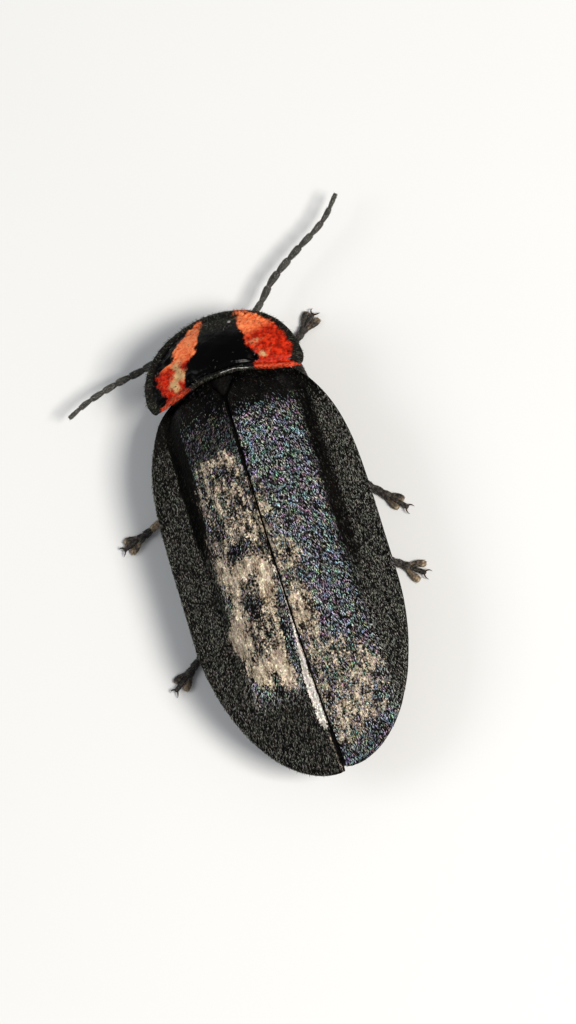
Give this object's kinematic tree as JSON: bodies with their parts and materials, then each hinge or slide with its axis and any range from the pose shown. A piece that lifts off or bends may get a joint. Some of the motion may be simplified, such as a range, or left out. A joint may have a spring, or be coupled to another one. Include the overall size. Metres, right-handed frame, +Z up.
{
  "type": "firefly",
  "caption": "Black firefly standing on its feet: long soft wing cases with flat margins, a shield-shaped pronotum with red side patches, spread antennae.",
  "frame": {"origin": "on the floor, under the middle of the whole insect's box, antennae and feet included", "axes": "+X to the beetle's right, +Y forwards along the body, +Z up"},
  "size_m": [0.0092, 0.016, 0.0031],
  "materials": {
    "wing_case": "black, finely wrinkled, with a short pale down and dusty worn patches",
    "pronotum": "glossy black middle, orange-red side patches and a dull black granular rim",
    "shell": "black shell with fine hairs",
    "eye": "glossy black with fine facets",
    "leg": "black with fine grey hairs",
    "foot": "dull black-brown joints with pale brown lobes",
    "antenna": "dull grey-brown with dense short hairs"
  },
  "bodies": {
    "root": {"abdomen_1": "shell", "abdomen_2": "shell", "abdomen_3": "shell", "abdomen_4": "shell", "abdomen_5": "shell", "abdomen_6": "shell", "abdomen_7": "shell", "antenna_left_1": "antenna", "antenna_left_2": "antenna", "antenna_left_3": "antenna", "antenna_left_scape": "antenna", "antenna_right_1": "antenna", "antenna_right_2": "antenna", "antenna_right_3": "antenna", "antenna_right_scape": "antenna", "coxa_front_left": "leg", "coxa_front_right": "leg", "coxa_hind_left": "leg", "coxa_hind_right": "leg", "coxa_mid_left": "leg", "coxa_mid_right": "leg", "elytron_left": "wing_case", "elytron_right": "wing_case", "eye_left": "eye", "eye_right": "eye", "femur_front_left": "leg", "femur_front_right": "leg", "femur_hind_left": "leg", "femur_hind_right": "leg", "femur_mid_left": "leg", "femur_mid_right": "leg", "head": "shell", "mandible_left": "shell", "mandible_right": "shell", "mesothorax": "shell", "metathorax": "shell", "palp_left": "antenna", "palp_right": "antenna", "pronotum": "pronotum", "prothorax": "shell", "scutellum": "shell", "tarsus_front_left": "foot", "tarsus_front_right": "foot", "tarsus_hind_left": "foot", "tarsus_hind_right": "foot", "tarsus_mid_left": "foot", "tarsus_mid_right": "foot", "tibia_front_left": "leg", "tibia_front_right": "leg", "tibia_hind_left": "leg", "tibia_hind_right": "leg", "tibia_mid_left": "leg", "tibia_mid_right": "leg"}
  },
  "joints": []
}
